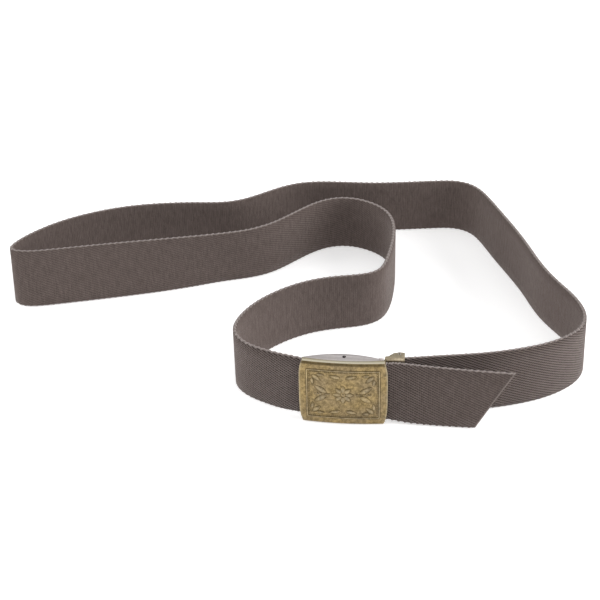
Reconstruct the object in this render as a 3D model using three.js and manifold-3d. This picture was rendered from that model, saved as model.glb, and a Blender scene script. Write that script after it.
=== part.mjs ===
import * as THREE from 'three';
import { mergeVertices } from 'three/addons/utils/BufferGeometryUtils.js';
import Module from 'manifold-3d';

const wasm = await Module();
wasm.setup();

// A woven belt, fastened through its plate buckle and standing on the strap's lower edge.
// Millimetres. +Z is up, the buckle's face looks to -Y, and the origin is the middle of the floor
// rectangle that the whole loop covers.

// Webbing
const WEB_WIDTH = 37.6;
const WEB_THICKNESS = 2.4;
const SELVEDGE_ROUND = 0.5;
const TAIL_CUT = 21.5;        // how much further the tail's upper edge runs than its lower edge
const TAIL_CUT_REACH = 60;    // length over which the slanted end is blended into square sections
const FINE_STEPS = 24;        // samples in each span of the route, for measuring its length
const SECTION_TURN = 9;       // degrees of bend that call for a new section
const SECTION_RUN = 11;       // and the longest stretch without one

// Buckle, in its own frame: u runs along the plate, v runs back from the middle of its face
const BUCKLE_X = 30.9;
const BUCKLE_Y = -111.2;
const BUCKLE_TURN = -6.8;     // degrees about Z
const SHEET_GAP = 0.3;
const PLATE_HALF = 25.3;
const PLATE_BOW = 1.8;        // how far the plate's ends stand back of its middle
const PLATE_THICKNESS = 1.2;
const FLANGE_THICKNESS = 0.7;
const FLANGE_DEPTH = 4;       // at the middle
const FLANGE_END_DEPTH = 6.3; // at the ends, from the middle of the face
const FLANGE_INSET = 0.1;     // how far the lips lie inside the plate's edges
const PLATE_STEPS = 24;
const CHEEK_THICKNESS = 0.65;
const CHEEK_HALF = 24;
const CHEEK_END = 7.7;
const CHEEK_BACK = 12.5;
const WALL_THICKNESS = 0.65;
const WALL_HALF = 21;
const BAR_V = 9.5;
const BAR_RADIUS = 2.5;
const JOURNAL_RADIUS = 0.75;

// End clamp, in the buckle's frame
const PIN = { u: 21, v: 8.85, radius: 0.5, head: 0.9 };
const LOOP_RADIUS = 1.35;
const LOBE_RADIUS = 1.6;
const CLAMP_END = 34.2;
const CLAMP_WALL = 0.8;
const CLAMP_SLOPE = 0.17;     // how far the clamp swings back of the plate for each millimetre of u
const TOOTH_DEPTH = 0.3;
const TOOTH_COUNT = 4;
const FLAP = { u: 31, v: 15.1, radius: 0.55, thickness: 1.2 };

// Heights, from the floor up: flange, gap, cheek, gap, webbing, and the same again at the top
const CHEEK_LOW = FLANGE_THICKNESS + SHEET_GAP;
const WEB_LOW = CHEEK_LOW + CHEEK_THICKNESS + SHEET_GAP;
const WEB_TOP = WEB_LOW + WEB_WIDTH;
const CHEEK_TOP = WEB_TOP + SHEET_GAP + CHEEK_THICKNESS;
const PLATE_HEIGHT = CHEEK_TOP + SHEET_GAP + FLANGE_THICKNESS;

// The plate's end edge: how far in from its full length it stands at each height
const PLATE_EDGE = [
  { height: 0, inset: 2.3 },
  { height: 1.5, inset: 1.7 },
  { height: 4, inset: 0.9 },
  { height: 8, inset: 0.25 },
  { height: 13, inset: 0 },
  { height: 30, inset: 0 },
  { height: 35, inset: 0.15 },
  { height: 38.5, inset: 0.6 },
  { height: 40.4, inset: 1.2 },
  { height: PLATE_HEIGHT, inset: 1.9 },
];

// The strap's route along its lower edge, as the control points of one smooth curve, from the end
// in the clamp to the tail. x and y are on the floor, tip is how far the upper edge stands off over
// the lower one, and rise is the height of the lower edge where the buckle holds it up.
const ROUTE = [
  { place: 'clamp', x: 55.9, y: -102.4, rise: WEB_LOW },
  { place: 'clamp', x: 69.5, y: -102.3, rise: WEB_LOW },
  { place: 'right front', x: 90.4, y: -99.7, tipY: 1, rise: 0.6 },
  { place: 'right front', x: 110.4, y: -99.7, tipY: 2.8 },
  { place: 'right front', x: 129.4, y: -96.6, tipY: 2.7 },
  { place: 'right front', x: 147.4, y: -91.1, tipY: 2 },
  { place: 'right bend', x: 161.4, y: -83, tipY: 1 },
  { place: 'right bend', x: 172.9, y: -72.2 },
  { place: 'right bend', x: 178.4, y: -56.7, tipX: -1 },
  { place: 'right side', x: 175.4, y: -37.7, tipX: -1.8 },
  { place: 'right side', x: 168.4, y: -23.2, tipX: -1.4 },
  { place: 'right side', x: 160.9, y: -6.7 },
  { place: 'right side', x: 156.9, y: 9.3 },
  { place: 'right side', x: 153.4, y: 28.3 },
  { place: 'right side', x: 146.8, y: 50.3, tipX: 1.2 },
  { place: 'right side', x: 140.2, y: 71.3, tipX: 1.7 },
  { place: 'far corner', x: 135.1, y: 91.3, tipX: 1.3 },
  { place: 'far corner', x: 129.4, y: 107.9, tipX: 0.5, tipY: 0.4 },
  { place: 'far corner', x: 117.4, y: 116.3 },
  { place: 'back', x: 100.4, y: 115.7 },
  { place: 'back', x: 82.4, y: 115.1 },
  { place: 'back', x: 62.4, y: 114.7 },
  { place: 'back', x: 42.4, y: 117.1 },
  { place: 'back', x: 24.4, y: 119.5 },
  { place: 'back', x: 6.4, y: 118 },
  { place: 'back dip', x: -9.6, y: 108.6 },
  { place: 'back dip', x: -25.6, y: 96.8 },
  { place: 'back dip', x: -41.6, y: 91.4 },
  { place: 'back left', x: -61.6, y: 93.5 },
  { place: 'back left', x: -83.6, y: 93.2 },
  { place: 'back left', x: -105.6, y: 90.9 },
  { place: 'back left', x: -129.6, y: 83.3 },
  { place: 'back left', x: -152.6, y: 70.6 },
  { place: 'left fold', x: -170.5, y: 53.1 },
  { place: 'left fold', x: -177.6, y: 40.5, tipY: 1 },
  { place: 'left fold', x: -178.1, y: 30.3, tipY: 6 },
  { place: 'left fold', x: -171.6, y: 24.8, tipY: 9.5 },
  { place: 'left front', x: -160.6, y: 24.7, tipY: 9.5 },
  { place: 'left front', x: -142.6, y: 28, tipY: 9 },
  { place: 'left front', x: -121.6, y: 31.6, tipY: 8.4 },
  { place: 'left front', x: -100.6, y: 35.6, tipY: 6.8 },
  { place: 'left front', x: -80.6, y: 39.9, tipY: 4.4 },
  { place: 'left front', x: -61.6, y: 45.2, tipY: 1.4 },
  { place: 'left front', x: -43.6, y: 51.1, tipY: -1.8 },
  { place: 'hump', x: -26.6, y: 54.1, tipY: -1.5 },
  { place: 'hump', x: -12.6, y: 59.1 },
  { place: 'hump', x: -0.6, y: 69.3 },
  { place: 'hump', x: 11.4, y: 81.5 },
  { place: 'hump', x: 25.4, y: 92.5, tipY: 0.8 },
  { place: 'hump', x: 41.4, y: 95.3, tipY: 0.8 },
  { place: 'hump', x: 57.4, y: 87.3, tipY: 0.8 },
  { place: 'hump', x: 68.9, y: 73.8 },
  { place: 'inner bend', x: 71.2, y: 54.3 },
  { place: 'inner bend', x: 68.7, y: 34.3 },
  { place: 'inner bend', x: 65.6, y: 14.8, tipX: -1.2 },
  { place: 'inner bend', x: 59.4, y: -2.2 },
  { place: 'inner run', x: 46.4, y: -8.5, tipY: 1.5 },
  { place: 'inner run', x: 29.4, y: -10.1, tipY: 2.3 },
  { place: 'inner run', x: 12.4, y: -14.5, tipX: -0.4, tipY: 2.3 },
  { place: 'inner run', x: -3.6, y: -23.9, tipX: -1, tipY: 2 },
  { place: 'inner run', x: -17.1, y: -36.2, tipX: -1.5, tipY: 1.6 },
  { place: 'left bend', x: -27.6, y: -51.7, tipX: -1.2, tipY: 1 },
  { place: 'left bend', x: -32.6, y: -66.7 },
  { place: 'left bend', x: -25.6, y: -79.7 },
  { place: 'left bend', x: -14.1, y: -87.9, tipY: 0.7 },
  { place: 'buckle approach', x: -4.6, y: -94.7, tipY: 2, rise: 0.5 },
  { place: 'buckle', x: 3.4, y: -99.3, tipY: 1.4, rise: WEB_LOW },
  { place: 'buckle', x: 11.4, y: -101.7, rise: WEB_LOW },
  { place: 'buckle', x: 20.4, y: -103.7, rise: WEB_LOW },
  { place: 'buckle', x: 31.8, y: -105.9, rise: WEB_LOW },
  { place: 'buckle', x: 42.9, y: -107.5, rise: WEB_LOW },
  { place: 'buckle', x: 51.7, y: -108.4, rise: WEB_LOW },
  { place: 'tail', x: 57.6, y: -109.7, tipY: 3, rise: WEB_LOW },
  { place: 'tail', x: 65.4, y: -111.9, tipY: 6, rise: 0.8 },
  { place: 'tail', x: 81.4, y: -114.3, tipY: 5.4 },
  { place: 'tail', x: 100.4, y: -116.9, tipY: 3.8 },
  { place: 'tail', x: 115.4, y: -118.7, tipY: 2.8 },
  { place: 'tail', x: 126.9, y: -120.5, tipY: 2.6 },
];

// The ornament on the plate: a border line, a rosette and a sprig of two leaves on either side
const RELIEF_HEIGHT = 0.35;
const RELIEF_SINK = 0.6;
const BORDER_INSET = 4.2;
const BORDER_WIDTH = 0.9;
const ROSETTE_PETALS = 8;
const ROSETTE_RADIUS = 6.2;
const PETAL_WIDTH = 2.8;
const LEAF_LENGTH = 8.5;
const LEAF_WIDTH = 3.2;

const webbing = new THREE.MeshStandardMaterial({ color: 0x5c524e, roughness: 0.95, metalness: 0 });
const antiqueBrass = new THREE.MeshStandardMaterial({ color: 0x96845f, roughness: 0.45, metalness: 0.85 });
const greySteel = new THREE.MeshStandardMaterial({ color: 0xb3abad, roughness: 0.4, metalness: 0.85 });
const clampBrass = new THREE.MeshStandardMaterial({ color: 0x8d8361, roughness: 0.45, metalness: 0.85 });

function named(name, geometry, material) {
  const mesh = new THREE.Mesh(geometry, material);
  mesh.name = name;
  return mesh;
}

// Closed meshes as solids that can be joined and cut
function toSolid(geometry) {
  const bare = geometry.clone();
  bare.deleteAttribute('normal');
  bare.deleteAttribute('uv');
  const merged = mergeVertices(bare, 1e-4);
  const vertProperties = new Float32Array(merged.attributes.position.array);
  const triVerts = new Uint32Array(merged.index.array);
  return new wasm.Manifold(new wasm.Mesh({ numProp: 3, vertProperties, triVerts }));
}

function toGeometry(solid) {
  const mesh = solid.getMesh();
  const geometry = new THREE.BufferGeometry();
  geometry.setAttribute('position', new THREE.BufferAttribute(new Float32Array(mesh.vertProperties), 3));
  geometry.setIndex(new THREE.BufferAttribute(new Uint32Array(mesh.triVerts), 1));
  geometry.computeVertexNormals();
  return geometry;
}

function joined(geometries) {
  const solids = geometries.map(toSolid);
  return toGeometry(solids.reduce((whole, next) => whole.add(next)));
}

// Every vertex of a geometry moved by a rule
function reshaped(geometry, rule) {
  const position = geometry.attributes.position;
  const point = new THREE.Vector3();
  for (let i = 0; i < position.count; i += 1) {
    point.fromBufferAttribute(position, i);
    rule(point);
    position.setXYZ(i, point.x, point.y, point.z);
  }
  geometry.computeVertexNormals();
  return geometry;
}

// A flat outline in u and v raised from one height to another
function raised(shape, low, high) {
  const geometry = new THREE.ExtrudeGeometry(shape, {
    depth: high - low, bevelEnabled: false, curveSegments: 12,
  });
  return geometry.translate(0, 0, low);
}

function polygon(points) {
  return new THREE.Shape(points.map(([u, v]) => new THREE.Vector2(u, v)));
}

function circle(u, v, radius) {
  return new THREE.Shape().absarc(u, v, radius, 0, Math.PI * 2, false);
}

// Webbing

// A uniform cubic B-spline through named columns: the ends are mirrored so that it starts and
// finishes on its first and last rows
function splineValue(rows, column, span, t) {
  const value = (i) => {
    const last = rows.length - 1;
    if (i < 0) return 2 * (rows[0][column] ?? 0) - (rows[1][column] ?? 0);
    if (i > last) return 2 * (rows[last][column] ?? 0) - (rows[last - 1][column] ?? 0);
    return rows[i][column] ?? 0;
  };
  const a = value(span - 1);
  const b = value(span);
  const c = value(span + 1);
  const d = value(span + 2);
  const s = 1 - t;
  return (s * s * s * a
    + (3 * t * t * t - 6 * t * t + 4) * b
    + (3 * s * s * s - 6 * s * s + 4) * c
    + t * t * t * d) / 6;
}

// The route as closely spaced samples, each with its length from the clamped end
function routeSamples(rows) {
  const samples = [];
  for (let i = 0; i <= (rows.length - 1) * FINE_STEPS; i += 1) {
    const span = Math.min(Math.floor(i / FINE_STEPS), rows.length - 2);
    const t = i / FINE_STEPS - span;
    const read = (column) => splineValue(rows, column, span, t);
    samples.push({ x: read('x'), y: read('y'), tipX: read('tipX'), tipY: read('tipY'), rise: read('rise') });
  }
  samples[0].length = 0;
  for (let i = 1; i < samples.length; i += 1) {
    const step = Math.hypot(samples[i].x - samples[i - 1].x, samples[i].y - samples[i - 1].y);
    samples[i].length = samples[i - 1].length + step;
  }
  return samples;
}

// The place, direction and lean of the strap at a length from its clamped end
function placeAt(samples, length) {
  let i = samples.findIndex((sample) => sample.length > length);
  if (i < 0) i = samples.length - 1;
  i = Math.max(i, 1);
  const before = samples[i - 1];
  const after = samples[i];
  const t = (length - before.length) / (after.length - before.length);
  const mix = (column) => before[column] + (after[column] - before[column]) * t;
  const early = samples[Math.max(i - 2, 0)];
  const late = samples[Math.min(i + 1, samples.length - 1)];
  const along = new THREE.Vector3(late.x - early.x, late.y - early.y, 0).normalize();
  const tipX = mix('tipX');
  const tipY = mix('tipY');
  const up = new THREE.Vector3(tipX, tipY, Math.sqrt(WEB_WIDTH ** 2 - tipX ** 2 - tipY ** 2)).normalize();
  const across = new THREE.Vector3().crossVectors(up, along).normalize();
  const lift = Math.abs(across.z) * WEB_THICKNESS / 2;
  const foot = new THREE.Vector3(mix('x'), mix('y'), mix('rise') + lift);
  return { foot, up, across };
}

// Lengths at which the strap gets a section: often in a bend, seldom on a straight
function sectionLengths(samples) {
  const lengths = [0];
  let spent = 0;
  for (let i = 1; i < samples.length - 1; i += 1) {
    const [a, b, c] = [samples[i - 1], samples[i], samples[i + 1]];
    const before = Math.atan2(b.y - a.y, b.x - a.x);
    const after = Math.atan2(c.y - b.y, c.x - b.x);
    const turn = Math.abs(Math.atan2(Math.sin(after - before), Math.cos(after - before)));
    spent += THREE.MathUtils.radToDeg(turn) / SECTION_TURN + (b.length - a.length) / SECTION_RUN;
    if (spent >= 1) {
      lengths.push(b.length);
      spent = 0;
    }
  }
  lengths.push(samples[samples.length - 1].length);
  return lengths;
}

function strap() {
  const samples = routeSamples(ROUTE);
  const lengths = sectionLengths(samples);
  const total = lengths[lengths.length - 1];
  const half = WEB_THICKNESS / 2;
  const section = polygon([
    [-half + SELVEDGE_ROUND, 0],
    [half - SELVEDGE_ROUND, 0],
    [half, SELVEDGE_ROUND],
    [half, WEB_WIDTH / 2],
    [half, WEB_WIDTH - SELVEDGE_ROUND],
    [half - SELVEDGE_ROUND, WEB_WIDTH],
    [-half + SELVEDGE_ROUND, WEB_WIDTH],
    [-half, WEB_WIDTH - SELVEDGE_ROUND],
    [-half, WEB_WIDTH / 2],
    [-half, SELVEDGE_ROUND],
  ]);
  const steps = lengths.length - 1;
  const straight = new THREE.ExtrudeGeometry(section, { depth: steps, steps, bevelEnabled: false });
  return reshaped(straight, (point) => {
    const blendStart = total - TAIL_CUT_REACH;
    const endHere = total - TAIL_CUT * (1 - point.y / WEB_WIDTH);
    let length = lengths[Math.round(point.z)];
    if (length > blendStart) {
      length = blendStart + (length - blendStart) * (endHere - blendStart) / TAIL_CUT_REACH;
    }
    const { foot, up, across } = placeAt(samples, length);
    const thickness = point.x;
    const height = point.y;
    point.copy(foot).addScaledVector(up, height).addScaledVector(across, thickness);
  });
}

// Buckle

function bow(u) {
  return PLATE_BOW * (u / PLATE_HALF) ** 2;
}

// A bowed sheet that stands on edge, at a distance behind the plate's face
function bowedSheet(half, front, thickness, low, high) {
  const box = new THREE.BoxGeometry(2 * half, thickness, high - low, PLATE_STEPS, 1, 1);
  box.translate(0, front + thickness / 2, (low + high) / 2);
  return reshaped(box, (point) => {
    point.y += bow(point.x);
  });
}

// The plate, narrower towards its upper and lower edges
function plateSheet() {
  const rows = PLATE_EDGE.length - 1;
  const box = new THREE.BoxGeometry(2, PLATE_THICKNESS, rows, PLATE_STEPS, 1, rows);
  box.translate(0, PLATE_THICKNESS / 2, rows / 2);
  return reshaped(box, (point) => {
    const { height, inset } = PLATE_EDGE[Math.round(point.z)];
    point.x *= PLATE_HALF - inset;
    point.y += bow(point.x);
    point.z = height;
  });
}

// A lip turned back from the plate's upper or lower edge
function flange(low, high) {
  const half = PLATE_HALF - PLATE_EDGE[0].inset - 0.4;
  const box = new THREE.BoxGeometry(2 * half, 1, high - low, PLATE_STEPS, 1, 1);
  return reshaped(box, (point) => {
    const front = bow(point.x) + PLATE_THICKNESS / 2;
    const rear = FLANGE_DEPTH + (FLANGE_END_DEPTH - FLANGE_DEPTH) * (point.x / half) ** 2;
    point.y = point.y < 0 ? front : rear;
    point.z += (low + high) / 2;
  });
}

// Flat outlines in u and height, laid on the plate's face as raised relief that follows its bow
function relief(shapes) {
  const prisms = shapes.map((shape) => {
    const prism = new THREE.ExtrudeGeometry(shape, { depth: 4, bevelEnabled: false, curveSegments: 5 });
    return toSolid(prism.rotateX(Math.PI / 2).translate(0, 3, PLATE_HEIGHT / 2));
  });
  const skin = bowedSheet(PLATE_HALF - 2, -RELIEF_HEIGHT, RELIEF_HEIGHT + RELIEF_SINK, 1, PLATE_HEIGHT - 1);
  return prisms.reduce((whole, next) => whole.add(next)).intersect(toSolid(skin));
}

function petal(angle) {
  const shape = new THREE.Shape();
  const reach = ROSETTE_RADIUS;
  const inner = 1.3;
  const bulge = PETAL_WIDTH / 2;
  const turn = (r, s) => [r * Math.cos(angle) - s * Math.sin(angle), r * Math.sin(angle) + s * Math.cos(angle)];
  shape.moveTo(...turn(inner, 0));
  shape.quadraticCurveTo(...turn((inner + reach) / 2 + 0.6, -bulge), ...turn(reach, 0));
  shape.quadraticCurveTo(...turn((inner + reach) / 2 + 0.6, bulge), ...turn(inner, 0));
  return shape;
}

function leaf(u, height, angle) {
  const shape = new THREE.Shape();
  const turn = (r, s) => [
    u + r * Math.cos(angle) - s * Math.sin(angle),
    height + r * Math.sin(angle) + s * Math.cos(angle),
  ];
  shape.moveTo(...turn(0, 0));
  shape.quadraticCurveTo(...turn(LEAF_LENGTH * 0.4, -LEAF_WIDTH), ...turn(LEAF_LENGTH, 0));
  shape.quadraticCurveTo(...turn(LEAF_LENGTH * 0.4, LEAF_WIDTH), ...turn(0, 0));
  return shape;
}

function rectangle(halfLength, halfHeight) {
  return [
    [-halfLength, -halfHeight],
    [halfLength, -halfHeight],
    [halfLength, halfHeight],
    [-halfLength, halfHeight],
  ];
}

function border() {
  const halfLength = PLATE_HALF - BORDER_INSET;
  const halfHeight = PLATE_HEIGHT / 2 - BORDER_INSET;
  const frame = polygon(rectangle(halfLength, halfHeight));
  frame.holes.push(polygon(rectangle(halfLength - BORDER_WIDTH, halfHeight - BORDER_WIDTH)));
  return frame;
}

function ornament() {
  const shapes = [border(), circle(0, 0, 1)];
  for (let i = 0; i < ROSETTE_PETALS; i += 1) {
    shapes.push(petal(i * 2 * Math.PI / ROSETTE_PETALS));
  }
  for (const side of [-1, 1]) {
    const outward = side > 0 ? 0 : Math.PI;
    shapes.push(leaf(side * 9.5, 0.8, outward + side * 0.6));
    shapes.push(leaf(side * 9.5, -0.8, outward - side * 0.6));
  }
  return shapes;
}

function bucklePlate() {
  const sheet = toSolid(plateSheet());
  const lower = toSolid(flange(FLANGE_INSET, FLANGE_THICKNESS));
  const upper = toSolid(flange(PLATE_HEIGHT - FLANGE_THICKNESS, PLATE_HEIGHT - FLANGE_INSET));
  return toGeometry(sheet.add(lower).add(upper).add(relief(ornament())));
}

// The lens-shaped cheek, with a lobe for the clamp's pin and a hole for the bar's journal
function cheek(low) {
  const front = PLATE_THICKNESS + SHEET_GAP;
  const outline = [];
  const steps = 16;
  for (let i = 0; i <= steps; i += 1) {
    const u = -CHEEK_HALF + 2 * CHEEK_HALF * i / steps;
    outline.push([u, bow(u) + front + WALL_THICKNESS / 3]);
  }
  for (let i = steps; i >= 0; i -= 1) {
    const u = -CHEEK_HALF + 2 * CHEEK_HALF * i / steps;
    outline.push([u, CHEEK_BACK - (CHEEK_BACK - CHEEK_END) * (u / CHEEK_HALF) ** 2]);
  }
  const lens = toSolid(raised(polygon(outline), low, low + CHEEK_THICKNESS));
  const lobe = toSolid(raised(circle(PIN.u, PIN.v, LOBE_RADIUS), low, low + CHEEK_THICKNESS));
  const cut = (u, v, radius) => toSolid(raised(circle(u, v, radius), low - 1, low + CHEEK_THICKNESS + 1));
  return lens.add(lobe)
    .subtract(cut(0, BAR_V, JOURNAL_RADIUS + SHEET_GAP))
    .subtract(cut(PIN.u, PIN.v, PIN.radius + SHEET_GAP));
}

function buckleBracket() {
  const front = PLATE_THICKNESS + SHEET_GAP;
  const wall = bowedSheet(WALL_HALF, front, WALL_THICKNESS, CHEEK_LOW, CHEEK_TOP);
  const upper = cheek(CHEEK_TOP - CHEEK_THICKNESS);
  const lower = cheek(CHEEK_LOW);
  return toGeometry(toSolid(wall).add(upper).add(lower));
}

// A turned piece from radii and heights, starting and ending on its axis
function turned(profile, segments, u, v) {
  const points = profile.map(([radius, height]) => new THREE.Vector2(radius, height));
  const lathe = new THREE.LatheGeometry(points, segments);
  return toGeometry(toSolid(lathe.rotateX(Math.PI / 2).translate(u, v, 0)));
}

function lockBar() {
  const end = CHEEK_THICKNESS / 2 + SHEET_GAP;
  return turned([
    [0, WEB_LOW - end],
    [JOURNAL_RADIUS, WEB_LOW - end],
    [JOURNAL_RADIUS, WEB_LOW],
    [BAR_RADIUS, WEB_LOW],
    [BAR_RADIUS, WEB_TOP],
    [JOURNAL_RADIUS, WEB_TOP],
    [JOURNAL_RADIUS, WEB_TOP + end],
    [0, WEB_TOP + end],
  ], 20, 0, BAR_V);
}

function clampPin() {
  const low = CHEEK_LOW - SHEET_GAP;
  const high = CHEEK_TOP + SHEET_GAP;
  const headHeight = 0.4;
  return turned([
    [0, low - headHeight],
    [PIN.head, low - headHeight],
    [PIN.head, low],
    [PIN.radius, low],
    [PIN.radius, high],
    [PIN.head, high],
    [PIN.head, high + headHeight],
    [0, high + headHeight],
  ], 12, PIN.u, PIN.v);
}

// The clamp's wall runs from its loop along a line that swings back of the plate
function clampLine(u) {
  return PIN.v - CLAMP_WALL / 2 + CLAMP_SLOPE * (u - PIN.u);
}

function clampStrip(from, to, offset, thickness) {
  return polygon([
    [from, clampLine(from) + offset],
    [to, clampLine(to) + offset],
    [to, clampLine(to) + offset + thickness],
    [from, clampLine(from) + offset + thickness],
  ]);
}

function clampBody() {
  const wallStart = PIN.u + LOBE_RADIUS + SHEET_GAP;
  const toothPitch = (CLAMP_END - wallStart) / (TOOTH_COUNT + 1);
  const loop = toSolid(raised(circle(PIN.u, PIN.v, LOOP_RADIUS), WEB_LOW, WEB_TOP));
  const bore = toSolid(raised(circle(PIN.u, PIN.v, PIN.radius + SHEET_GAP), 0, PLATE_HEIGHT));
  const neck = toSolid(raised(clampStrip(PIN.u, wallStart + 1, 0, CLAMP_WALL), WEB_LOW, WEB_TOP));
  const wall = toSolid(raised(clampStrip(wallStart, CLAMP_END, 0, CLAMP_WALL), CHEEK_LOW, CHEEK_TOP));
  const earShape = polygon([
    [wallStart, clampLine(wallStart)],
    [CLAMP_END, clampLine(CLAMP_END)],
    [CLAMP_END, FLAP.v + 1],
    [FLAP.u, FLAP.v + 1.3],
    [FLAP.u - 3, FLAP.v + 0.6],
    [wallStart, clampLine(wallStart) + 2.4],
  ]);
  earShape.holes.push(circle(FLAP.u, FLAP.v, FLAP.radius + SHEET_GAP));
  const upper = toSolid(raised(earShape, CHEEK_TOP - CHEEK_THICKNESS, CHEEK_TOP));
  const lower = toSolid(raised(earShape, CHEEK_LOW, CHEEK_LOW + CHEEK_THICKNESS));
  let body = loop.add(neck).subtract(bore).add(wall).add(upper).add(lower);
  for (let i = 1; i <= TOOTH_COUNT; i += 1) {
    const u = wallStart + 1 + i * toothPitch * 0.9;
    const root = clampLine(u) + CLAMP_WALL - 0.2;
    const tooth = polygon([[u - 0.7, root], [u + 0.7, root + 0.25], [u + 0.1, root + 0.2 + TOOTH_DEPTH]]);
    body = body.add(toSolid(raised(tooth, WEB_LOW, WEB_TOP)));
  }
  return toGeometry(body);
}

function clampFlap() {
  const from = FLAP.u - 5.6;
  const to = CLAMP_END - 0.2;
  const line = (u) => FLAP.v - FLAP.thickness / 2 + CLAMP_SLOPE * (u - FLAP.u);
  const plate = raised(polygon([
    [from, line(from)],
    [to, line(to)],
    [to, line(to) + FLAP.thickness],
    [from, line(from) + FLAP.thickness],
  ]), WEB_LOW, WEB_TOP);
  const end = CHEEK_THICKNESS / 2 + SHEET_GAP;
  const journal = raised(circle(FLAP.u, FLAP.v, FLAP.radius), WEB_LOW - end, WEB_TOP + end);
  return joined([plate, journal]);
}

const buckle = new THREE.Group();
buckle.position.set(BUCKLE_X, BUCKLE_Y, 0);
buckle.rotation.z = THREE.MathUtils.degToRad(BUCKLE_TURN);
buckle.add(
  named('buckle_plate', bucklePlate(), antiqueBrass),
  named('buckle_bracket', buckleBracket(), greySteel),
  named('lock_bar', lockBar(), greySteel),
  named('clamp_body', clampBody(), clampBrass),
  named('clamp_flap', clampFlap(), clampBrass),
  named('clamp_pin', clampPin(), greySteel),
);

const belt = new THREE.Group();
belt.add(named('strap', strap(), webbing), buckle);

export default belt;
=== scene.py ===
# %% [markdown]
# A woven elastic belt with a plate buckle
#
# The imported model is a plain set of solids: one strap that winds over the floor on its edge, and a
# buckle of six metal pieces. This lesson keeps their places and gives each one the surface of the
# real thing: twilled webbing with turns of thread along its selvedges, and pressed, antiqued brass.

# %% Load the frame
import math

import bmesh
import bpy
import numpy as np
from mathutils import Matrix, Vector

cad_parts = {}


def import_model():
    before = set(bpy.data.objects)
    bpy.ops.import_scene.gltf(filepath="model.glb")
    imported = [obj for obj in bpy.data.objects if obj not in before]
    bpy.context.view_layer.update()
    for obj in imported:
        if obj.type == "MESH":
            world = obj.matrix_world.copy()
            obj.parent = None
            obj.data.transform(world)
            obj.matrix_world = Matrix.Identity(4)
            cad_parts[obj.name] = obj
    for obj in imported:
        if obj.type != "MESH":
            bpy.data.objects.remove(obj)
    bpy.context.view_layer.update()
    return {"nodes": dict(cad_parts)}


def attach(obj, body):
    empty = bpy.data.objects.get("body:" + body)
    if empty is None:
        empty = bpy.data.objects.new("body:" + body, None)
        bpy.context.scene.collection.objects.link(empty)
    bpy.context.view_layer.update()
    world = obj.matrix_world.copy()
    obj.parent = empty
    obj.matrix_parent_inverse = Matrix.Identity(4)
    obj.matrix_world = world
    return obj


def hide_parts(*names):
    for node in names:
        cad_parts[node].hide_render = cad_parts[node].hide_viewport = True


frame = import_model()
MM = 0.001
print("frame nodes:", ", ".join(sorted(frame["nodes"])))

# %% [markdown]
# The camera comes first, because every later step is judged through it. It stands about a metre off
# and 32 degrees above the floor, rolled a little to one side. Its long lens is why the strap looks
# almost equally tall at the front and back.

# %% Camera
CAMERA_PITCH = math.radians(32)
CAMERA_ROLL = math.radians(-1.4)
CAMERA_DISTANCE = 977 * MM
CAMERA_AIM = Vector((7.9, 24.8, 0)) * MM
LENS = 90
SENSOR = 36


def placed(name, data):
    """A new object at the origin, linked to the scene."""
    made = bpy.data.objects.new(name, data)
    bpy.context.scene.collection.objects.link(made)
    return made


def photo_camera():
    camera = placed("photo_camera", bpy.data.cameras.new("photo_camera"))
    camera.data.lens = LENS
    camera.data.sensor_width = SENSOR
    camera.data.clip_start = 10 * MM
    turn = Matrix.Rotation(math.pi / 2 - CAMERA_PITCH, 4, "X") @ Matrix.Rotation(CAMERA_ROLL, 4, "Z")
    step_back = Matrix.Translation((0, 0, CAMERA_DISTANCE))
    camera.matrix_world = Matrix.Translation(CAMERA_AIM) @ turn @ step_back
    bpy.context.scene.camera = camera
    return camera


print("camera stands at", [round(v, 3) for v in photo_camera().matrix_world.translation])

# %% [markdown]
# Every piece is a mesh whose object stays at the origin, with its place in its points. Buckle pieces
# are drawn in millimetres in the buckle's own frame and then turned into place: u runs along the
# plate, v runs back from the middle of its face, and the third number is the height.

# %% Helpers for meshes
BUCKLE_TURN = Matrix.Rotation(math.radians(-6.8), 4, "Z")
BUCKLE_PLACE = Matrix.Translation((30.9, -111.2, 0)) @ BUCKLE_TURN
SAME_POINT = 1e-4
CRISP_EDGE = math.radians(38)


def new_piece(name, points, faces, edges=()):
    mesh = bpy.data.meshes.new(name)
    mesh.from_pydata([tuple(p) for p in points], edges, faces)
    mesh.shade_smooth()
    return placed(name, mesh)


def weld(piece):
    """Closes seams and poles, turns faces outwards and keeps true edges crisp."""
    shape = bmesh.new()
    shape.from_mesh(piece.data)
    bmesh.ops.remove_doubles(shape, verts=shape.verts, dist=SAME_POINT)
    bmesh.ops.recalc_face_normals(shape, faces=shape.faces)
    shape.to_mesh(piece.data)
    shape.free()
    piece.data.shade_smooth()
    piece.data.set_sharp_from_angle(angle=CRISP_EDGE)


def count(piece):
    triangles = sum(len(p.vertices) - 2 for p in piece.data.polygons)
    print(piece.name, "has", triangles, "triangles")
    return piece


def into_buckle(piece, metal):
    """Welds a piece drawn in the buckle's frame, gives it its metal and moves it into place."""
    weld(piece)
    piece.data.materials.clear()
    piece.data.materials.append(metal)
    piece.data.transform(Matrix.Scale(MM, 4) @ BUCKLE_PLACE)
    return count(piece)


def evaluated(piece):
    """The piece as a plain mesh, with its modifiers or its curve's thickness applied."""
    name = piece.name
    graph = bpy.context.evaluated_depsgraph_get()
    mesh = bpy.data.meshes.new_from_object(piece.evaluated_get(graph))
    bpy.data.objects.remove(piece)
    return placed(name, mesh)


def joined(name, pieces):
    """Several meshes as one object of that name."""
    with bpy.context.temp_override(
        active_object=pieces[0], selected_editable_objects=pieces, selected_objects=pieces
    ):
        bpy.ops.object.join()
    pieces[0].name = name
    pieces[0].data.name = name
    return pieces[0]


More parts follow.
